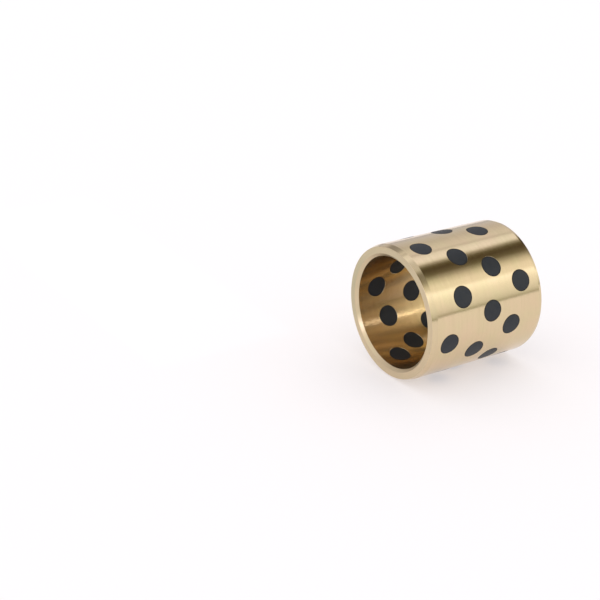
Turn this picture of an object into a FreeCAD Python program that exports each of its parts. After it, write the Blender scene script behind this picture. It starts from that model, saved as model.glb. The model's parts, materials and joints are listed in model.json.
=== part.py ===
import FreeCAD, Part
import math
import os
import Sketcher

# Bronze sleeve bushing with graphite plugs, in millimetres.
# The bore runs along Y with its lead-in end at -Y, +Z is up, and the origin is
# the middle of the bore.  The sleeve is one turned and drilled piece.  Each
# plug is a piece of its own, set in a radial hole right through the wall and
# finished flush with the outside and with the bore.

# Dimensions: (alias, value, what it is)
DIMENSIONS = [
    ("bore_diameter", 50.0, "running bore"),
    ("outer_diameter", 60.0, "press-fit outside"),
    ("sleeve_length", 60.0, "overall length"),
    ("lead_length", 2.7, "lead-in taper at the -Y end, along the axis"),
    ("rear_taper_length", 1.5, "taper at the +Y end, along the axis"),
    ("taper_angle", 15.0, "both outside tapers, degrees from the axis"),
    ("bore_chamfer", 1.3, "45 degree chamfer at both mouths of the bore"),
    ("hole_diameter", 9.5, "radial holes for the plugs"),
    ("plug_diameter", 9.4, "plugs, leaving a thin bond line in the hole"),
    ("trim_diameter", 80.0, "plug blanks are trimmed out to this size"),
]

# Where the plugs sit, one row for each of the eight lines that lean round the
# sleeve.  A plug is (distance along the bore from the middle, angle in degrees
# from +X towards +Z).  Lines are about 45 degrees apart and neighbouring lines
# are staggered; the holes are drilled to about a millimetre, so neither the
# lines nor the rings that they make are quite even.
PLUG_LINES = [
    [(-19.0, 79), (-6.5, 60.5), (7.0, 44.5), (19.5, 27)],
    [(-12.5, 26), (2.0, 8.5), (13.0, -8.5)],
    [(-20.5, -11), (-5.0, -25.5), (7.0, -41.5), (19.5, -60)],
    [(-13.0, -62), (0.0, -79), (13.0, -97)],
    [(-19.5, -103), (-8.0, -116), (6.0, -133), (19.5, -151)],
    [(-14.5, -149.5), (0.5, -169), (13.5, -186)],
    [(-19.0, 176.5), (-8.5, 156), (6.5, 140), (19.5, 123)],
    [(-13.5, 117), (1.5, 101.5), (14.5, 85.5)],
]

# Sketcher's names for the sketch origin and for a line's two ends.
ORIGIN = (-1, 1)
START = 1
END = 2


def plug_seats():
    """(ring, line, distance along the bore, angle) of every plug.

    Odd lines have their plugs in the odd rings, even lines in the even ones.
    """
    seats = []
    for line, plugs in enumerate(PLUG_LINES, start=1):
        first_ring = 1 if line % 2 else 2
        for index, (along, angle) in enumerate(plugs):
            seats.append((first_ring + 2 * index, line, along, angle))
    return sorted(seats)


def sheet_rows():
    """Every dimension, then the two that place each plug."""
    rows = list(DIMENSIONS)
    for ring, line, along, angle in plug_seats():
        place = "%d_%d" % (ring, line)
        rows.append(("along_" + place, along, "plug in ring %d, line %d: along the bore" % (ring, line)))
        rows.append(("angle_" + place, angle, "plug in ring %d, line %d: round the bore" % (ring, line)))
    return rows


def make_sheet(doc):
    sheet = doc.addObject("Spreadsheet::Sheet", "Sizes")
    for row, (alias, value, note) in enumerate(sheet_rows(), start=1):
        sheet.set("A%d" % row, note)
        sheet.set("B%d" % row, str(value))
        sheet.setAlias("B%d" % row, alias)
    doc.recompute()
    return sheet


def new_body(doc, label):
    body = doc.addObject("PartDesign::Body", label)
    body.Label = label
    return body


def new_sketch(body, name, plane_role):
    sketch = body.newObject("Sketcher::SketchObject", name)
    for feature in body.Origin.OriginFeatures:
        if feature.Role == plane_role:
            sketch.AttachmentSupport = [(feature, "")]
    sketch.MapMode = "FlatFace"
    return sketch


def bind_circle(sketch, radius, expression):
    """Adds a circle about the sketch's origin with its radius bound."""
    circle = sketch.addGeometry(Part.Circle(FreeCAD.Vector(), FreeCAD.Vector(0, 0, 1), radius))
    sketch.addConstraint(Sketcher.Constraint("Coincident", circle, 3, *ORIGIN))
    constraint = sketch.addConstraint(Sketcher.Constraint("Radius", circle, radius))
    sketch.setExpression("Constraints[%d]" % constraint, expression)


def bind_distance(sketch, kind, geometry, value, expression):
    """Binds a line start's horizontal or vertical distance from the origin."""
    ends = [ORIGIN, (geometry, START)]
    if value < 0:
        ends.reverse()
    constraint = sketch.addConstraint(Sketcher.Constraint(kind, *ends[0], *ends[1], abs(value)))
    sketch.setExpression("Constraints[%d]" % constraint, expression)


def bind_polygon(sketch, corners):
    """Draws a closed outline.  A corner is (x, y, expression of |x|, expression of |y|)."""
    points = [FreeCAD.Vector(x, y, 0) for x, y, _, _ in corners]
    lines = []
    for index, point in enumerate(points):
        following = points[(index + 1) % len(points)]
        lines.append(sketch.addGeometry(Part.LineSegment(point, following)))
    for index, line in enumerate(lines):
        following = lines[(index + 1) % len(lines)]
        sketch.addConstraint(Sketcher.Constraint("Coincident", line, END, following, START))
    for line, (x, y, x_expression, y_expression) in zip(lines, corners):
        bind_distance(sketch, "DistanceX", line, x, x_expression)
        bind_distance(sketch, "DistanceY", line, y, y_expression)


def seat_placement(ring, line):
    """Expression for a frame on the bore axis whose Z points out along a plug."""
    along = "Sizes.along_%d_%d" % (ring, line)
    turn = "90 - Sizes.angle_%d_%d" % (ring, line)
    return "placement(vector(0; %s; 0); rotation(vector(0; 1; 0); %s))" % (along, turn)


def section_corners(sheet):
    """Wall section in the YZ plane: axial position across, radius up."""
    half = sheet.sleeve_length / 2
    bore = sheet.bore_diameter / 2
    outside = sheet.outer_diameter / 2
    chamfer = sheet.bore_chamfer
    slope = math.tan(math.radians(sheet.taper_angle))
    lead = sheet.lead_length
    rear = sheet.rear_taper_length

    half_text = "Sizes.sleeve_length / 2"
    bore_text = "Sizes.bore_diameter / 2"
    outside_text = "Sizes.outer_diameter / 2"
    drop_text = outside_text + " - Sizes.%s * tan(Sizes.taper_angle * 1 deg)"
    mouth_text = bore_text + " + Sizes.bore_chamfer"
    inset_text = half_text + " - Sizes.bore_chamfer"
    return [
        (-half, bore + chamfer, half_text, mouth_text),
        (-half, outside - lead * slope, half_text, drop_text % "lead_length"),
        (-half + lead, outside, half_text + " - Sizes.lead_length", outside_text),
        (half - rear, outside, half_text + " - Sizes.rear_taper_length", outside_text),
        (half, outside - rear * slope, half_text, drop_text % "rear_taper_length"),
        (half, bore + chamfer, half_text, mouth_text),
        (half - chamfer, bore, inset_text, bore_text),
        (-half + chamfer, bore, inset_text, bore_text),
    ]


def make_sleeve(doc, sheet):
    """The turned bronze sleeve, drilled radially for every plug."""
    body = new_body(doc, "bronze_sleeve")
    section = new_sketch(body, "WallSection", "YZ_Plane")
    bind_polygon(section, section_corners(sheet))
    turned = body.newObject("PartDesign::Revolution", "TurnedBlank")
    turned.Profile = section
    turned.ReferenceAxis = (section, ["H_Axis"])
    turned.Angle = 360
    doc.recompute()
    blank_volume = body.Shape.Volume

    for ring, line, _, _ in plug_seats():
        hole = body.newObject("PartDesign::SubtractiveCylinder", "Hole_%d_%d" % (ring, line))
        hole.setExpression("Radius", "Sizes.hole_diameter / 2")
        hole.setExpression("Height", "Sizes.outer_diameter / 2 + Sizes.hole_diameter")
        hole.setExpression("Placement", seat_placement(ring, line))
        body.Tip = hole
    doc.recompute()
    check_sleeve_volume(sheet, blank_volume, body.Shape.Volume)
    return body


def make_plug(doc, ring, line):
    """One graphite plug: a round blank cut to the curves of bore and outside."""
    body = new_body(doc, "graphite_plug_ring%d_line%d" % (ring, line))
    end = new_sketch(body, "PlugEnd_%d_%d" % (ring, line), "XY_Plane")
    bind_circle(end, 5.0, "Sizes.plug_diameter / 2")
    blank = body.newObject("PartDesign::Pad", "Blank_%d_%d" % (ring, line))
    blank.Profile = end
    blank.setExpression("Length", "Sizes.outer_diameter / 2 + Sizes.hole_diameter / 2")

    # Looking along the bore: the inner disc and the outer ring are cut away.
    trim = new_sketch(body, "WallCurves_%d_%d" % (ring, line), "XZ_Plane")
    bind_circle(trim, 25.0, "Sizes.bore_diameter / 2")
    bind_circle(trim, 30.0, "Sizes.outer_diameter / 2")
    bind_circle(trim, 40.0, "Sizes.trim_diameter / 2")
    flush = body.newObject("PartDesign::Pocket", "FlushEnds_%d_%d" % (ring, line))
    flush.Profile = trim
    flush.SideType = "Symmetric"
    flush.setExpression("Length", "2 * Sizes.plug_diameter")
    body.Tip = flush
    body.setExpression("Placement", seat_placement(ring, line))
    return body


def near(value, expected, tolerance):
    return abs(value - expected) <= tolerance * expected


def wall_thickness(sheet):
    return (sheet.outer_diameter - sheet.bore_diameter) / 2


def check_sleeve_volume(sheet, blank, drilled):
    """The turned blank is a tube less its tapers, and every hole removes a plug's worth."""
    tube = math.pi * (sheet.outer_diameter**2 - sheet.bore_diameter**2) / 4 * sheet.sleeve_length
    if not near(blank, tube, 0.03):
        raise RuntimeError("turned blank has volume %.0f, not about %.0f" % (blank, tube))
    one_hole = math.pi * sheet.hole_diameter**2 / 4 * wall_thickness(sheet)
    drilled_out = one_hole * len(plug_seats())
    if not near(blank - drilled, drilled_out, 0.03):
        raise RuntimeError("holes removed %.0f, not about %.0f" % (blank - drilled, drilled_out))


def check_plug_volume(sheet, plug):
    expected = math.pi * sheet.plug_diameter**2 / 4 * wall_thickness(sheet)
    if not near(plug.Shape.Volume, expected, 0.03):
        raise RuntimeError("%s has volume %.1f, not about %.1f" % (plug.Label, plug.Shape.Volume, expected))


def check_document(doc, pieces):
    for item in doc.Objects:
        if "Invalid" in item.State or "Error" in item.State:
            raise RuntimeError("%s did not compute: %s" % (item.Label, item.State))
    for piece in pieces:
        if piece.Shape.isNull() or not piece.Shape.isValid():
            raise RuntimeError("%s has no valid shape" % piece.Label)
        if len(piece.Shape.Solids) != 1:
            raise RuntimeError("%s is not one solid" % piece.Label)


def main():
    doc = FreeCAD.newDocument("graphite_plugged_bushing")
    sheet = make_sheet(doc)
    sleeve = make_sleeve(doc, sheet)
    plugs = [make_plug(doc, ring, line) for ring, line, _, _ in plug_seats()]
    doc.recompute()

    pieces = [sleeve] + plugs
    check_document(doc, pieces)
    for plug in plugs:
        check_plug_volume(sheet, plug)

    os.makedirs("parts", exist_ok=True)
    for piece in pieces:
        piece.Shape.exportStep("parts/%s.step" % piece.Label)
        box = piece.Shape.BoundBox
        print("%-28s %8.1f mm3  y %6.2f to %6.2f" % (piece.Label, piece.Shape.Volume, box.YMin, box.YMax))


main()
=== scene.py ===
import json
import math

import bpy
from mathutils import Matrix, Vector
from mathutils.geometry import delaunay_2d_cdt


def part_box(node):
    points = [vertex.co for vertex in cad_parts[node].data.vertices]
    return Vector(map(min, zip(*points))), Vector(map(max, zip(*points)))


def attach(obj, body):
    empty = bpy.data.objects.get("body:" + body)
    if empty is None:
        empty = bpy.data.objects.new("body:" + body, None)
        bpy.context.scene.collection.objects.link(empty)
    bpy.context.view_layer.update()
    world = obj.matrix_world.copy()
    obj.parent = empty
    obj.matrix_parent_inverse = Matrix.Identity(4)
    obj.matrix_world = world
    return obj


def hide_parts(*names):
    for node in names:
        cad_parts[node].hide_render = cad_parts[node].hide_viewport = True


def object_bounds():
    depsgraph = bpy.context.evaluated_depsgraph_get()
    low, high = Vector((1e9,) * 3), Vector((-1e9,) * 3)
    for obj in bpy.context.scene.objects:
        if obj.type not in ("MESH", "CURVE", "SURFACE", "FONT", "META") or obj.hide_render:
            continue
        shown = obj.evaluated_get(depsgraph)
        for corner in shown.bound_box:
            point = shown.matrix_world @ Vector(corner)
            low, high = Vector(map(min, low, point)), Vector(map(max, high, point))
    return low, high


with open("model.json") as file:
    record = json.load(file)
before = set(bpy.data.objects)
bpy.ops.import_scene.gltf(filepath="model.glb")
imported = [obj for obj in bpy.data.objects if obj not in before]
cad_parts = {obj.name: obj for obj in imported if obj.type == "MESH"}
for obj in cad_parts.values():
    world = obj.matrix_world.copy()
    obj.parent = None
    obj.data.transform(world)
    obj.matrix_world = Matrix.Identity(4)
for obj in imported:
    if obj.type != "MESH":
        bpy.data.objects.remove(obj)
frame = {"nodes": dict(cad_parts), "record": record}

CAD_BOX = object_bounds()

# A bronze sleeve bushing with graphite plugs, lying on its side on a pale table.
# The bore runs along Y with its lead-in end at -Y, and +Z is up.  The pieces made
# here have the shapes of the frame's nodes, with their edges broken and their
# turned corners rounded.  Lengths are in metres.

# ---------------------------------------------------------------------------
# Sizes of the bushing
# ---------------------------------------------------------------------------
MM = 0.001
MOUNTS = {mount["name"]: mount for mount in frame["record"]["mounts"]}
OUTSIDE_R = MOUNTS["housing_seat"]["dims"]["r_mm"] * MM
BORE_R = MOUNTS["shaft_bore"]["dims"]["r_mm"] * MM
END_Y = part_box("bronze_sleeve")[1][1]

LEAD_LENGTH = 2.7 * MM
REAR_TAPER_LENGTH = 1.5 * MM
TAPER_SLOPE = math.tan(math.radians(15))
BORE_CHAMFER = 1.3 * MM
HOLE_R = 4.75 * MM
PLUG_R = 4.7 * MM
EDGE_BREAK = 0.05 * MM   # deburred edge of a hole or a plug
CORNER_R = 0.26 * MM     # rounding of the turned corners

# ---------------------------------------------------------------------------
# Fineness of the meshes
# ---------------------------------------------------------------------------
TURN_STEPS = 180         # facets round the sleeve
HOLE_STEPS = 48          # facets round a hole or a plug
CORNER_STEPS = 3         # facets round a turned corner
PLUG_RINGS = 5           # rings of faces on the end of a plug
GRID_Y = 1.6 * MM        # spacing of the wall's mesh along the bore
HOLE_MARGIN = 1.12       # the wall's grid keeps this many hole radii away
HOLE_REACH = 0.5         # radians round the wall, more than any hole's half width
END_LAP = 0.4 * MM       # plain wall that belongs to the turned ends
WELD_STEPS = 1e7         # steps per metre: corners that round to the same step are one
MESH_EPSILON = 1e-7
BORE_TOLERANCE = 0.02 * MM

# ---------------------------------------------------------------------------
# Camera: where it looks from, in degrees, its place, and a lens for a 36 mm sensor
# ---------------------------------------------------------------------------
VIEW_AZIMUTH = 57.09
VIEW_ELEVATION = 22.88
VIEW_FROM = (0.41911, -0.34734, 0.22745)
VIEW_LENS_MM = 79.7
SENSOR_MM = 36.0

# ---------------------------------------------------------------------------
# Looks of the bronze and the graphite
# ---------------------------------------------------------------------------
# Each bronze has a rosy and a golden tone.  A groove colour is painted shade, a darker colour laid in
# the tool's marks.
OUTSIDE_BRONZE = ((0.735, 0.575, 0.375), (0.705, 0.585, 0.360))
OUTSIDE_GROOVE_SHADE = (0.56, 0.43, 0.26)
OUTSIDE_ROUGHNESS = 0.13
OUTSIDE_ANISOTROPY = 0.6
# The bore's bronze is darker than the outside's: partly the bored finish, partly painted shade inside
# the bore.
BORE_BRONZE_AND_SHADE = ((0.640, 0.455, 0.245), (0.620, 0.460, 0.232))
BORE_GROOVE_SHADE = (0.46, 0.30, 0.13)
BORE_ROUGHNESS = 0.22
BORE_ANISOTROPY = 0.93
# The faced ends' bronze is a little darker than the walls': painted shade standing in for the shaded
# floor that the ends reflect.
FACED_BRONZE_AND_SHADE = ((0.67, 0.540, 0.360), (0.64, 0.530, 0.350))
FACED_ROUGHNESS = 0.36

# Noise scales are per millimetre.  A turning mark hardly changes on its way
# round the sleeve, so its noise is stretched by this much across the bore.
MARK_STRETCH = 0.02
FINE_MARKS = 5.5
BROAD_MARKS = 0.7
MARK_DEPTH = 2.5e-6
WALL_MOTTLE = 0.11
FACED_MOTTLE = 0.16
RIPPLE = 0.22
RIPPLE_DEPTH = 1.5e-5

# The parts of a noise's range that a change runs over: a change of tone, and one
# that follows the marks or the grain.
TONE_RANGE = (0.35, 0.65)
MARK_RANGE = (0.3, 0.7)
# How much the marks change the roughness of the bronze, from lowest to highest.
UNEVENNESS = (-0.02, 0.03)
# How squarely a surface faces an end, 0 to 1: where the faced bronze and its
# painted shade blend in, and past which the tool fed in and out.
FACED_BLEND = (0.1, 0.6)
FACED_LIMIT = 0.5
# How strongly the grooves' painted shade shows, in the broad marks and in the fine ones.
BROAD_GROOVE_SHADE = 0.16
FINE_GROOVE_SHADE = 0.26
FINE_GROOVE_RANGE = (0.25, 0.60)

GRAPHITE_DARK = (0.007, 0.009, 0.013)
GRAPHITE_PALE = (0.020, 0.025, 0.033)
GRAPHITE_CLOUD = (0.026, 0.026, 0.027)
BOND_LINE = (0.010, 0.007, 0.005)
RIM_STAIN_MM = (4.0, 4.65)   # from the plug's axis, where the stain starts and is strongest
RIM_STAIN = 0.85
GRAPHITE_SPECULAR = 0.33
GRAPHITE_GRAIN = 3.2
GRAPHITE_CLOUDS = 0.35
GRAPHITE_CLOUDING = 0.4
GRAPHITE_ROUGHNESS = (0.38, 0.52)
GRAPHITE_MARKS = 5.0
CUT_STRETCH = 0.03
CUT_HEIGHT = 0.35        # of the grain's height
CUT_ROUGHNESS = 0.06
GRAPHITE_DEPTH = 1.2e-5
SCATTER_MM = 97.0        # shifts the grain, so that no two plugs are alike

# ---------------------------------------------------------------------------
# The studio
# ---------------------------------------------------------------------------
WORLD_LIGHT = 1.10
FLOOR_HALF = 4.0
FLOOR_GLOW = 0.45
FLOOR_WHITE = 0.93
FLOOR_GRAIN = 900.0      # noise scale per metre
FLOOR_GRAIN_SHADE = 0.98
FLOOR_TINT = (1.02, 0.98, 0.995)

# A cool grey card on the floor, left of the mouth as the camera sees it.  It glows
# a little dimmer than the floor and shows only in reflections: painted shade of
# the floor near the object.  Its spans of x and of y.
CARD_SPAN = ((-0.30, -0.062), (-0.112, -0.038))
CARD_HEIGHT = 0.2 * MM
SHADE_CARD_COLOUR = (0.76, 0.83, 0.84)

# One lamp lights the rim of the mouth.  The other, behind the far end, shines
# up into the bore and makes the light streak along it.  Powers are in watts and
# spreads in degrees.
RIM_LAMP_DIRECTION = (-0.43, 0.83, -0.35)
RIM_LAMP_DISTANCE = 0.8
RIM_LAMP_SIZE = (0.16, 0.16)
RIM_LAMP_COLOUR = (0.78, 0.72, 1.0)
RIM_LAMP_POWER = 0.50
RIM_LAMP_SPREAD = 180.0
STREAK_LAMP_DIRECTION = (0.583, -0.550, 0.598)
STREAK_LAMP_PLACE = (-0.0198, 0.0461, -0.0228)
STREAK_LAMP_SIZE = (0.0020, 0.033)
STREAK_LAMP_COLOUR = (0.34, 0.48, 1.0)
STREAK_LAMP_POWER = 0.0018
STREAK_LAMP_SPREAD = 50.0

# Brightness of the room seen in reflections, by angle in degrees about the bore
# from +X up over the top to -X: the dark line of the horizon, a soft panel that
# is brightest at 39, the ceiling, a seam at 116 and a wall that dims downwards.
PANELS = [
    (0, (0.60, 0.60, 0.56)),
    (0.6, (0.50, 0.50, 0.42)),
    (2.8, (0.54, 0.54, 0.44)),
    (4.6, (0.78, 0.78, 0.72)),
    (8, (0.90, 0.90, 0.84)),
    (15, (1.05, 1.06, 1.00)),
    (26, (1.22, 1.23, 1.15)),
    (39, (1.55, 1.58, 1.52)),
    (45, (1.18, 1.16, 1.05)),
    (55, (1.10, 1.08, 0.98)),
    (90, (1.10, 1.10, 1.10)),
    (104, (1.16, 1.16, 1.24)),
    (114, (1.04, 1.04, 1.08)),
    (116, (0.74, 0.72, 0.74)),
    (119, (0.74, 0.72, 0.74)),
    (121, (0.93, 0.90, 0.93)),
    (130, (0.86, 0.84, 0.85)),
    (145, (0.73, 0.70, 0.70)),
    (168, (0.70, 0.68, 0.71)),
    (176, (0.58, 0.56, 0.60)),
    (180, (0.56, 0.54, 0.58)),
]

# The dark gap between the ceiling panels: a straight strip overhead, so its
# brightness goes by distance from a plane through the object.  The plane's
# normal, then (sine of the angle from the plane, how much light comes through).
GAP_NORMAL = (-0.840, -0.374, 0.393)
GAP = [
    (-0.38, (1.00, 1.00, 1.00)),
    (-0.28, (0.74, 0.74, 0.68)),
    (-0.20, (0.42, 0.41, 0.35)),
    (-0.12, (0.16, 0.14, 0.09)),
    (0.00, (0.08, 0.06, 0.03)),
    (0.08, (0.12, 0.10, 0.05)),
    (0.14, (0.40, 0.38, 0.32)),
    (0.19, (0.95, 0.95, 0.93)),
    (0.24, (1.00, 1.00, 1.00)),
]
# The gap fades out between these values of the direction's y.
GAP_FADE = (-0.4, 0.25)

# Dim spots of the room: direction, the cosines of the angles from it at which
# the spot starts and is dimmest, and how much light it keeps there.
DIM_SPOTS = [
    ((-0.736, 0.300, 0.607), (0.95, 0.99), 0.52),
    ((0.050, 0.140, 0.989), (0.95, 0.99), 0.72),
]


# ---------------------------------------------------------------------------
# Mesh building
# ---------------------------------------------------------------------------
class Skin:
    """Collects faces with a true surface normal at every corner of each face."""

    def __init__(self):
        self.points = []
        self.index = {}
        self.faces = []
        self.normals = []

    def vertex(self, point):
        key = tuple(round(c * WELD_STEPS) for c in point)
        if key not in self.index:
            self.index[key] = len(self.points)
            self.points.append(tuple(point))
        return self.index[key]

    def face(self, corners):
        """corners: list of (point, normal).  Winding is turned to suit the normals."""
        points = [Vector(point) for point, _ in corners]
        facing = (points[1] - points[0]).cross(points[2] - points[0])
        if facing.length == 0:
            return
        if facing.dot(corners[0][1]) < 0:
            corners = list(reversed(corners))
        indices = [self.vertex(point) for point, _ in corners]
        if len(set(indices)) < len(indices):
            return
        self.faces.append(indices)
        self.normals.extend(tuple(normal.normalized()) for _, normal in corners)

    def strip(self, first, second):
        """Quads between two closed rows of (point, normal)."""
        count = len(first)
        for i in range(count):
            j = (i + 1) % count
            self.face([first[i], first[j], second[j], second[i]])

    def build(self, name):
        mesh = bpy.data.meshes.new(name)
        mesh.from_pydata(self.points, [], self.faces)
        mesh.shade_smooth()
        mesh.normals_split_custom_set(self.normals)
        piece = bpy.data.objects.new(name, mesh)
        bpy.context.scene.collection.objects.link(piece)
        return piece


def radial(angle):
    """Direction away from the bore's axis, at an angle from +X towards +Z."""
    return Vector((math.cos(angle), 0.0, math.sin(angle)))


def on_wall(radius, angle, y):
    return Vector((radius * math.cos(angle), y, radius * math.sin(angle)))


# ---------------------------------------------------------------------------
# Where the plugs sit
# ---------------------------------------------------------------------------
def plug_nodes():
    return sorted(name for name in frame["nodes"] if name.startswith("graphite_plug"))


def seat_of(node):
    """(y, angle) of a plug, from the middle of its surface in the frame."""
    mesh = frame["nodes"][node].data
    total = Vector()
    area = 0.0
    for face in mesh.polygons:
        total += face.center * face.area
        area += face.area
    centre = total / area
    return centre.y, math.atan2(centre.z, centre.x)


SEATS = {node: seat_of(node) for node in plug_nodes()}


# ---------------------------------------------------------------------------
# The turned ends of the sleeve
# ---------------------------------------------------------------------------
def end_profile(end_y, taper_length):
    """Corners (y, radius) of one end, from the outside round the end face to the bore."""
    inward = -math.copysign(1, end_y)
    drop = taper_length * TAPER_SLOPE
    return [
        (end_y + inward * (taper_length + END_LAP), OUTSIDE_R),
        (end_y + inward * taper_length, OUTSIDE_R),
        (end_y, OUTSIDE_R - drop),
        (end_y, BORE_R + BORE_CHAMFER),
        (end_y + inward * BORE_CHAMFER, BORE_R),
        (end_y + inward * (BORE_CHAMFER + END_LAP), BORE_R),
    ]


def outward_of(along, side):
    return Vector((along.y, -along.x)).normalized() * side


def rounded_corners(corners, radius, side):
    """Profile with its inner corners rounded: a list of (y, r, normal y, normal r).

    side is 1 where the solid is on the right of the path and -1 on its left.
    """
    points = [Vector(corner) for corner in corners]
    profile = [(points[0], outward_of(points[1] - points[0], side))]
    for before, point, after in zip(points, points[1:], points[2:]):
        into, out = (point - before).normalized(), (after - point).normalized()
        start = point - into * radius * math.tan(into.angle(out) / 2)
        normal_in, normal_out = outward_of(into, side), outward_of(out, side)
        centre = start - normal_in * radius
        for step in range(CORNER_STEPS + 1):
            normal = normal_in.lerp(normal_out, step / CORNER_STEPS).normalized()
            profile.append((centre + normal * radius, normal))
    profile.append((points[-1], outward_of(points[-1] - points[-2], side)))
    return [(p.x, p.y, n.x, n.y) for p, n in profile]


def lathe(skin, profile):
    rows = []
    for y, r, normal_y, normal_r in profile:
        row = []
        for step in range(TURN_STEPS):
            angle = 2 * math.pi * step / TURN_STEPS
            normal = radial(angle) * normal_r + Vector((0, normal_y, 0))
            row.append((on_wall(r, angle, y), normal))
        rows.append(row)
    for first, second in zip(rows, rows[1:]):
        skin.strip(first, second)


# ---------------------------------------------------------------------------
# The drilled walls of the sleeve
# ---------------------------------------------------------------------------
def hole_outline(radius, y, angle, surface_r):
    """Points where a radial hole meets a cylinder about Y: (wall angle, y) pairs."""
    outline = []
    for step in range(HOLE_STEPS):
        turn = 2 * math.pi * step / HOLE_STEPS
        wall_angle = angle + math.asin(radius * math.cos(turn) / surface_r)
        outline.append((wall_angle, y + radius * math.sin(turn)))
    return outline


def inside_hole(turn, along, surface_r):
    across = surface_r * math.sin(turn)
    return math.hypot(across, along) < HOLE_R + EDGE_BREAK and math.cos(turn) > 0


def pierced_wall(skin, surface_r, y_from, y_to, facing):
    """A cylinder about Y with a round opening at every seat.

    The wall is unrolled to a flat strip, meshed round the openings, and rolled
    up again.  One and a half turns are meshed, so that holes that cross the
    seam are whole, and the faces of exactly one turn are kept.
    """
    full_turn = 2 * math.pi
    step_angle = full_turn / TURN_STEPS
    rows = max(2, round((y_to - y_from) / GRID_Y))
    first_column, last_column = -TURN_STEPS // 4, TURN_STEPS + TURN_STEPS // 4
    low = first_column * step_angle + HOLE_REACH
    high = last_column * step_angle - HOLE_REACH
    centres = []
    for y, angle in SEATS.values():
        angle %= full_turn
        centres += [(angle + shift, y) for shift in (-full_turn, 0, full_turn)]

    def clear_of_holes(angle, y):
        margin = HOLE_MARGIN * HOLE_R
        return all(math.hypot((angle - a) * surface_r, y - b) > margin for a, b in centres)

    flat, edges = [], []
    for column in range(first_column, last_column + 1):
        for row in range(rows + 1):
            angle, y = column * step_angle, y_from + (y_to - y_from) * row / rows
            if row in (0, rows) or clear_of_holes(angle, y):
                flat.append((angle, y))
    openings = [(angle, y) for angle, y in centres if low < angle < high]
    for angle, y in openings:
        start = len(flat)
        flat += hole_outline(HOLE_R + EDGE_BREAK, y, angle, surface_r)
        edges += [(start + i, start + (i + 1) % HOLE_STEPS) for i in range(HOLE_STEPS)]

    scaled = [Vector((angle * surface_r, y)) for angle, y in flat]
    _, _, faces, origins, _, _ = delaunay_2d_cdt(scaled, edges, [], 0, MESH_EPSILON)
    for face in faces:
        corners = [flat[origins[i][0]] for i in face]
        angle = sum(a for a, _ in corners) / len(corners)
        y = sum(b for _, b in corners) / len(corners)
        if not 0 <= angle < full_turn:
            continue
        if any(inside_hole(angle - a, y - b, surface_r) for a, b in openings):
            continue
        skin.face([(on_wall(surface_r, a, b), radial(a) * facing) for a, b in corners])


def hole_walls(skin, y, angle):
    """The wall of one radial hole, with both of its edges broken."""
    axis = radial(angle)

    def ring(radius, surface_r, lean):
        """A row round the hole.  Its normals lean out along the hole's axis."""
        row = []
        for wall_angle, wall_y in hole_outline(radius, y, angle, surface_r):
            point = on_wall(surface_r, wall_angle, wall_y)
            inward = axis * point.dot(axis) + Vector((0, y, 0)) - point
            row.append((point, inward.normalized() + axis * lean))
        return row

    mouth = HOLE_R + EDGE_BREAK
    outer, inner = OUTSIDE_R - EDGE_BREAK, BORE_R + EDGE_BREAK
    skin.strip(ring(mouth, OUTSIDE_R, 1), ring(HOLE_R, outer, 1))
    skin.strip(ring(HOLE_R, outer, 0), ring(HOLE_R, inner, 0))
    skin.strip(ring(HOLE_R, inner, -1), ring(mouth, BORE_R, -1))


def make_sleeve():
    skin = Skin()
    front = end_profile(-END_Y, LEAD_LENGTH)
    rear = end_profile(END_Y, REAR_TAPER_LENGTH)
    lathe(skin, rounded_corners(front, CORNER_R, 1))
    lathe(skin, rounded_corners(rear, CORNER_R, -1))
    pierced_wall(skin, OUTSIDE_R, front[0][0], rear[0][0], 1)
    pierced_wall(skin, BORE_R, front[-1][0], rear[-1][0], -1)
    for y, angle in SEATS.values():
        hole_walls(skin, y, angle)
    return skin.build("turned_sleeve")


def dress_sleeve(sleeve, turned, bored):
    """The bore gets its own bronze, darker partly as painted shade inside the bore.  Everything else
    is the turned one.
    """
    sleeve.data.materials.append(turned)
    sleeve.data.materials.append(bored)
    bore_limit = BORE_R + BORE_TOLERANCE
    for face in sleeve.data.polygons:
        if math.hypot(face.center.x, face.center.z) < bore_limit:
            face.material_index = 1


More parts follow.
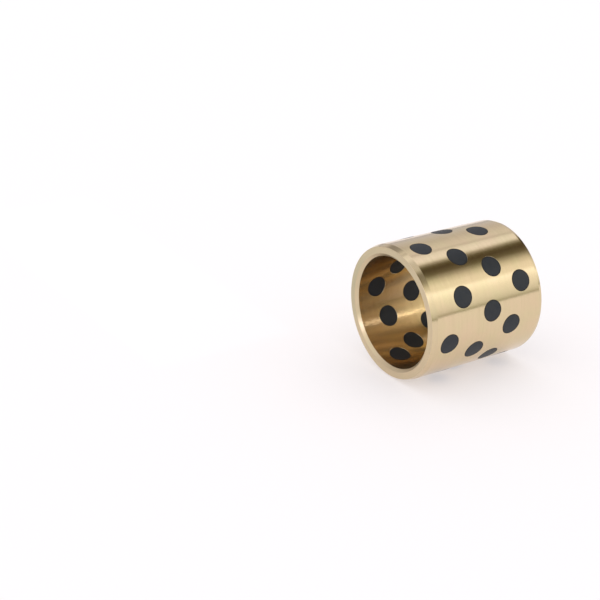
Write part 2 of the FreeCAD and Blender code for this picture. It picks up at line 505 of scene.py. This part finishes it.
# ---------------------------------------------------------------------------
# The plugs
# ---------------------------------------------------------------------------
def make_plug_mesh():
    """A plug in its own frame: Z outwards along its axis, Y along the bore."""
    skin = Skin()
    axis = Vector((0, 0, 1))

    def around(radius):
        """x, y and the direction outwards at each step round the plug."""
        for step in range(HOLE_STEPS):
            turn = 2 * math.pi * step / HOLE_STEPS
            outward = Vector((math.cos(turn), math.sin(turn), 0))
            yield radius * math.cos(turn), radius * math.sin(turn), outward

    def side_row(radius, surface_r, lean):
        """A row round the plug's side.  Its normals lean along the plug's axis."""
        row = []
        for x, y, outward in around(radius):
            row.append((Vector((x, y, math.sqrt(surface_r**2 - x**2))), outward + axis * lean))
        return row

    def end_row(radius, surface_r, side):
        """A row on the plug's end, which follows the wall's curve."""
        row = []
        for x, y, _ in around(radius):
            normal = Vector((x / surface_r, 0, math.sqrt(1 - (x / surface_r) ** 2))) * side
            row.append((Vector((x, y, math.sqrt(surface_r**2 - x**2))), normal))
        return row

    end_r = PLUG_R - EDGE_BREAK
    for surface_r, side in ((OUTSIDE_R, 1), (BORE_R, -1)):
        radii = [end_r * (step + 1) / PLUG_RINGS for step in range(PLUG_RINGS)]
        rings = [end_row(radius, surface_r, side) for radius in radii]
        middle = (Vector((0, 0, surface_r)), axis * side)
        for i in range(HOLE_STEPS):
            skin.face([middle, rings[0][i], rings[0][(i + 1) % HOLE_STEPS]])
        for first, second in zip(rings, rings[1:]):
            skin.strip(first, second)
        bevel_r = surface_r - EDGE_BREAK * side
        skin.strip(side_row(end_r, surface_r, side), side_row(PLUG_R, bevel_r, side))
    outer, inner = OUTSIDE_R - EDGE_BREAK, BORE_R + EDGE_BREAK
    skin.strip(side_row(PLUG_R, outer, 0), side_row(PLUG_R, inner, 0))
    piece = skin.build("plug_shape")
    mesh = piece.data
    bpy.data.objects.remove(piece)
    return mesh


def make_plugs(material):
    """One plug for each seat, all of one mesh."""
    mesh = make_plug_mesh()
    mesh.materials.append(material)
    for node, (y, angle) in SEATS.items():
        plug = bpy.data.objects.new(node.replace("graphite_plug", "plug"), mesh)
        across = Vector((math.sin(angle), 0, -math.cos(angle)))
        frame_axes = Matrix((across, Vector((0, 1, 0)), radial(angle))).transposed()
        plug.matrix_world = Matrix.Translation((0, y, 0)) @ frame_axes.to_4x4()
        bpy.context.scene.collection.objects.link(plug)
        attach(plug, "root")
        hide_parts(node)


# ---------------------------------------------------------------------------
# Shader nodes
# ---------------------------------------------------------------------------
class Nodes:
    """Small helper that adds and wires shader nodes."""

    def __init__(self, tree):
        self.tree = tree
        tree.nodes.clear()

    def add(self, kind, inputs=None, **settings):
        """A node with its settings made and its inputs linked, or set to plain values."""
        node = self.tree.nodes.new(kind)
        for name, value in settings.items():
            setattr(node, name, value)
        for key, value in (inputs or {}).items():
            if isinstance(value, bpy.types.NodeSocket):
                self.tree.links.new(value, node.inputs[key])
            else:
                node.inputs[key].default_value = value
        return node

    def math(self, operation, *values):
        return self.add("ShaderNodeMath", dict(enumerate(values)), operation=operation).outputs[0]

    def vector_math(self, operation, inputs):
        return self.add("ShaderNodeVectorMath", inputs, operation=operation)

    def dot(self, first, second):
        return self.vector_math("DOT_PRODUCT", {0: first, 1: second}).outputs["Value"]

    def scaled(self, vector, factor):
        return self.vector_math("SCALE", {0: vector, "Scale": factor}).outputs[0]

    def length(self, a, b):
        """Length of a flat vector."""
        squares = self.math("ADD", self.math("MULTIPLY", a, a), self.math("MULTIPLY", b, b))
        return self.math("SQRT", squares)

    def vector(self, x, y, z):
        return self.add("ShaderNodeCombineXYZ", {"X": x, "Y": y, "Z": z}).outputs[0]

    def noise(self, vector, scale, detail=2.0, roughness=0.5):
        inputs = {"Vector": vector, "Scale": scale, "Detail": detail, "Roughness": roughness}
        return self.add("ShaderNodeTexNoise", inputs).outputs["Fac"]

    def remap(self, value, low, high, to_low, to_high):
        inputs = {
            "Value": value, "From Min": low, "From Max": high, "To Min": to_low, "To Max": to_high,
        }
        return self.add("ShaderNodeMapRange", inputs, clamp=True).outputs["Result"]

    def mix(self, factor, first, second):
        """A colour between two, each a socket or an (r, g, b)."""
        node = self.add("ShaderNodeMix", {"Factor": factor}, data_type="RGBA")
        for key, value in ((6, first), (7, second)):
            if isinstance(value, bpy.types.NodeSocket):
                self.tree.links.new(value, node.inputs[key])
            else:
                node.inputs[key].default_value = (*value, 1)
        return node.outputs[2]

    def bump(self, height, depth, normal=None):
        inputs = {"Strength": 1.0, "Distance": depth, "Height": height}
        if normal is not None:
            inputs["Normal"] = normal
        return self.add("ShaderNodeBump", inputs).outputs[0]

    def surface(self, shader):
        self.add("ShaderNodeOutputMaterial", {"Surface": shader.outputs[0]})


def new_material(name):
    material = bpy.data.materials.new(name)
    material.use_nodes = True
    return material, Nodes(material.node_tree)


def millimetres(n):
    """The object's own coordinates in millimetres, and their x, y and z."""
    place = n.scaled(n.add("ShaderNodeTexCoord").outputs["Object"], 1000.0)
    parts = n.add("ShaderNodeSeparateXYZ", {0: place})
    return place, parts.outputs[0], parts.outputs[1], parts.outputs[2]


# ---------------------------------------------------------------------------
# Materials
# ---------------------------------------------------------------------------
def tool_feed(n, x, y, z):
    """How far the tool had fed, and how much the surface faces an end.

    The tool feeds along the bore on the walls and the tapers, and in and out on
    the chamfers and the end faces.
    """
    normal = n.add("ShaderNodeNewGeometry").outputs["Normal"]
    faces_end = n.math("ABSOLUTE", n.add("ShaderNodeSeparateXYZ", {0: normal}).outputs[1])
    on_end = n.math("GREATER_THAN", faces_end, FACED_LIMIT)
    along = n.math("MULTIPLY", y, n.math("SUBTRACT", 1.0, on_end))
    across = n.math("MULTIPLY", n.length(x, z), on_end)
    return n.math("ADD", along, across), faces_end, on_end


def bronze_colour(n, place, faces_end, fine, broad, wall_tones, groove_shade):
    """Mottled bronze, paler and a little darker on the faced ends, with painted shade there for the
    shaded floor they reflect, and painted shade in the tool's marks.
    """
    wall_mottle = n.remap(n.noise(place, WALL_MOTTLE, detail=3.0), *TONE_RANGE, 0.0, 1.0)
    end_mottle = n.remap(n.noise(place, FACED_MOTTLE, detail=4.0), *TONE_RANGE, 0.0, 1.0)
    wall = n.mix(wall_mottle, *wall_tones)
    end = n.mix(end_mottle, *FACED_BRONZE_AND_SHADE)
    colour = n.mix(n.remap(faces_end, *FACED_BLEND, 0.0, 1.0), wall, end)
    # The tool's marks get painted shade from the groove colour.
    colour = n.mix(n.remap(broad, *MARK_RANGE, 0.0, BROAD_GROOVE_SHADE), colour, groove_shade)
    return n.mix(n.remap(fine, *FINE_GROOVE_RANGE, FINE_GROOVE_SHADE, 0.0), colour, groove_shade)


def bronze_material(name, wall_tones, groove_shade, roughness, anisotropy):
    """Machined bronze: rings left by the tool, a satin sheen along the feed."""
    material, n = new_material(name)
    place, x, y, z = millimetres(n)
    feed, faces_end, on_end = tool_feed(n, x, y, z)
    across_x = n.math("MULTIPLY", x, MARK_STRETCH)
    across_z = n.math("MULTIPLY", z, MARK_STRETCH)
    along_mark = n.vector(across_x, feed, across_z)
    fine = n.noise(along_mark, FINE_MARKS, detail=4.0, roughness=0.65)
    broad = n.noise(along_mark, BROAD_MARKS, detail=3.0, roughness=0.6)

    even = n.remap(on_end, 0.0, 1.0, roughness, FACED_ROUGHNESS)
    broad_change = n.remap(broad, *MARK_RANGE, *UNEVENNESS)
    fine_change = n.remap(fine, *MARK_RANGE, *reversed(UNEVENNESS))
    uneven = n.math("ADD", broad_change, fine_change)
    marks = n.bump(fine, MARK_DEPTH)
    ripple = n.noise(place, RIPPLE, detail=1.0)
    tangent = n.add("ShaderNodeTangent", direction_type="RADIAL", axis="Y")
    n.surface(n.add("ShaderNodeBsdfPrincipled", {
        "Base Color": bronze_colour(n, place, faces_end, fine, broad, wall_tones, groove_shade),
        "Metallic": 1.0,
        "Roughness": n.math("ADD", even, uneven),
        "Anisotropic": anisotropy,
        "Anisotropic Rotation": 0.25,
        "Tangent": tangent.outputs[0],
        "Normal": n.bump(ripple, RIPPLE_DEPTH, marks),
    }))
    return material


def graphite_colour(n, moved, grain, off_axis):
    """Grey-black grain with paler clouds, and the stained bond line at the rim."""
    cloud = n.noise(moved, GRAPHITE_CLOUDS, detail=2.0)
    colour = n.mix(n.remap(grain, *TONE_RANGE, 0, 1), GRAPHITE_DARK, GRAPHITE_PALE)
    colour = n.mix(n.remap(cloud, *TONE_RANGE, 0, GRAPHITE_CLOUDING), colour, GRAPHITE_CLOUD)
    rim = n.remap(off_axis, *RIM_STAIN_MM, 0.0, RIM_STAIN)
    return n.mix(rim, colour, BOND_LINE)


def graphite_material():
    """Pressed graphite: a fine matt grain, with the faint marks of the last cut."""
    material, n = new_material("graphite")
    place, x, y, _ = millimetres(n)
    scatter = n.add("ShaderNodeObjectInfo").outputs["Random"]
    shift = n.math("MULTIPLY", scatter, SCATTER_MM)
    moved = n.vector_math("ADD", {0: place, 1: n.vector(shift, shift, 0.0)}).outputs[0]
    grain = n.noise(moved, GRAPHITE_GRAIN, detail=4.0, roughness=0.65)
    along_mark = n.vector(n.math("MULTIPLY", x, CUT_STRETCH), y, 0.0)
    marks = n.noise(along_mark, GRAPHITE_MARKS, detail=3.0)
    grain_roughness = n.remap(grain, *MARK_RANGE, *GRAPHITE_ROUGHNESS)
    mark_roughness = n.remap(marks, *MARK_RANGE, 0.0, CUT_ROUGHNESS)
    height = n.math("ADD", grain, n.math("MULTIPLY", marks, CUT_HEIGHT))
    n.surface(n.add("ShaderNodeBsdfPrincipled", {
        "Base Color": graphite_colour(n, moved, grain, n.length(x, y)),
        "Roughness": n.math("ADD", grain_roughness, mark_roughness),
        "Specular IOR Level": GRAPHITE_SPECULAR,
        "Normal": n.bump(height, GRAPHITE_DEPTH),
    }))
    return material


def floor_material():
    """A lit white table: part of its light comes up through it."""
    material, n = new_material("studio_floor")
    grain = n.noise(n.add("ShaderNodeTexCoord").outputs["Object"], FLOOR_GRAIN, detail=2.0)
    pale = [FLOOR_WHITE * (1.0 - FLOOR_GLOW) * tint for tint in FLOOR_TINT]
    n.surface(n.add("ShaderNodeBsdfPrincipled", {
        "Base Color": n.mix(grain, pale, [FLOOR_GRAIN_SHADE * channel for channel in pale]),
        "Roughness": 0.9,
        "Specular IOR Level": 0.2,
        "Emission Color": (*FLOOR_TINT, 1),
        "Emission Strength": FLOOR_GLOW,
    }))
    return material


def shade_card_material():
    # A glow dimmer than the floor's: painted shade, seen only in reflections.
    material, n = new_material("studio_card")
    n.surface(n.add("ShaderNodeEmission", {"Color": (*SHADE_CARD_COLOUR, 1), "Strength": 1.0}))
    return material


# ---------------------------------------------------------------------------
# Studio
# ---------------------------------------------------------------------------
def ramp(n, value, low, high, stops):
    """A colour ramp over a value from low to high."""
    node = n.add("ShaderNodeValToRGB", {"Fac": n.remap(value, low, high, 0.0, 1.0)})
    elements = node.color_ramp.elements
    elements.remove(elements[1])
    for index, (at, colour) in enumerate(stops):
        position = (at - low) / (high - low)
        stop = elements[0] if index == 0 else elements.new(position)
        stop.position = position
        stop.color = (*colour, 1)
    return node.outputs[0]


def room_light(n):
    """The room's light by direction: its panels, the gap between them and the dim spots."""
    towards = n.add("ShaderNodeTexCoord").outputs["Generated"]
    direction = n.add("ShaderNodeSeparateXYZ", {0: towards})
    turn = n.math("DEGREES", n.math("ARCTAN2", direction.outputs[2], direction.outputs[0]))
    panels = ramp(n, turn, 0.0, 180.0, PANELS)
    gap = ramp(n, n.dot(towards, GAP_NORMAL), -0.5, 0.5, GAP)
    shown = n.remap(direction.outputs[1], *GAP_FADE, 1.0, 0.0)
    gap = n.mix(shown, gap, (1.0, 1.0, 1.0))
    light = n.vector_math("MULTIPLY", {0: panels, 1: gap}).outputs[0]
    for spot, spread, kept in DIM_SPOTS:
        share = n.remap(n.dot(towards, spot), *spread, 1.0, kept)
        light = n.scaled(light, share)
    return light


def make_world():
    """Even white light, but reflections see the room."""
    world = bpy.data.worlds.new("studio")
    bpy.context.scene.world = world
    world.use_nodes = True
    n = Nodes(world.node_tree)
    reflected = n.add("ShaderNodeBackground", {"Color": room_light(n), "Strength": 1.0})
    plain = n.add("ShaderNodeBackground", {"Color": (1, 1, 1, 1), "Strength": WORLD_LIGHT})
    path = n.add("ShaderNodeLightPath")
    both = n.add("ShaderNodeMixShader", {
        0: path.outputs["Is Glossy Ray"], 1: plain.outputs[0], 2: reflected.outputs[0],
    })
    n.add("ShaderNodeOutputWorld", {"Surface": both.outputs[0]})


def make_lamp(name, place, facing, size, colour, power, spread):
    """A rectangular light that shows only in reflections.  Its spread is in degrees."""
    data = bpy.data.lights.new(name, "AREA")
    data.shape = "RECTANGLE"
    data.size, data.size_y = size
    data.color = colour
    data.energy = power
    data.spread = math.radians(spread)
    lamp = bpy.data.objects.new(name, data)
    lamp.location = place
    lamp.rotation_mode = "QUATERNION"
    back = -facing
    across = Vector((0, 1, 0)).cross(back).normalized()
    lamp.rotation_quaternion = Matrix((across, back.cross(across), back)).transposed().to_quaternion()
    lamp.visible_diffuse = False
    lamp.visible_camera = False
    bpy.context.scene.collection.objects.link(lamp)


def make_lamps():
    towards_rim = Vector(RIM_LAMP_DIRECTION).normalized()
    make_lamp("rim_lamp", -towards_rim * RIM_LAMP_DISTANCE, towards_rim, RIM_LAMP_SIZE,
              RIM_LAMP_COLOUR, RIM_LAMP_POWER, RIM_LAMP_SPREAD)
    into_bore = Vector(STREAK_LAMP_DIRECTION).normalized()
    make_lamp("streak_lamp", Vector(STREAK_LAMP_PLACE), into_bore, STREAK_LAMP_SIZE,
              STREAK_LAMP_COLOUR, STREAK_LAMP_POWER, STREAK_LAMP_SPREAD)


def make_sheet(name, span_x, span_y, z, material):
    """A flat rectangle that belongs to the studio."""
    (x_low, x_high), (y_low, y_high) = span_x, span_y
    corners = [(x_low, y_low, z), (x_high, y_low, z), (x_high, y_high, z), (x_low, y_high, z)]
    mesh = bpy.data.meshes.new(name)
    mesh.from_pydata(corners, [], [(0, 1, 2, 3)])
    mesh.materials.append(material)
    sheet = bpy.data.objects.new(name, mesh)
    bpy.context.scene.collection.objects.link(sheet)
    return sheet


def make_floor():
    span = (-FLOOR_HALF, FLOOR_HALF)
    floor = make_sheet("studio_floor", span, span, CAD_BOX[0].z, floor_material())


def make_shade_card():
    """The grey card, which shows only in reflections, as painted shade of the floor."""
    card = make_sheet("studio_card", *CARD_SPAN, CAD_BOX[0].z + CARD_HEIGHT, shade_card_material())
    card.visible_camera = False
    card.visible_diffuse = False
    card.visible_shadow = False


def make_camera():
    azimuth, elevation = math.radians(VIEW_AZIMUTH), math.radians(VIEW_ELEVATION)
    back = Vector((
        math.sin(azimuth) * math.cos(elevation),
        -math.cos(azimuth) * math.cos(elevation),
        math.sin(elevation),
    ))
    data = bpy.data.cameras.new("camera")
    data.lens = VIEW_LENS_MM
    data.sensor_width = SENSOR_MM
    camera = bpy.data.objects.new("camera", data)
    camera.location = VIEW_FROM
    camera.rotation_mode = "QUATERNION"
    camera.rotation_quaternion = (-back).to_track_quat("-Z", "Y")
    bpy.context.scene.collection.objects.link(camera)
    bpy.context.scene.camera = camera


# ---------------------------------------------------------------------------
# The scene
# ---------------------------------------------------------------------------
sleeve = make_sleeve()
turned_bronze = bronze_material(
    "turned_bronze", OUTSIDE_BRONZE, OUTSIDE_GROOVE_SHADE, OUTSIDE_ROUGHNESS, OUTSIDE_ANISOTROPY)
bored_bronze_and_shade = bronze_material(
    "bored_bronze_and_shade", BORE_BRONZE_AND_SHADE, BORE_GROOVE_SHADE, BORE_ROUGHNESS, BORE_ANISOTROPY)
dress_sleeve(sleeve, turned_bronze, bored_bronze_and_shade)
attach(sleeve, "root")
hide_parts("bronze_sleeve")
make_plugs(graphite_material())
make_floor()
make_world()
make_lamps()
make_shade_card()
make_camera()
bpy.context.scene.view_settings.view_transform = "Standard"
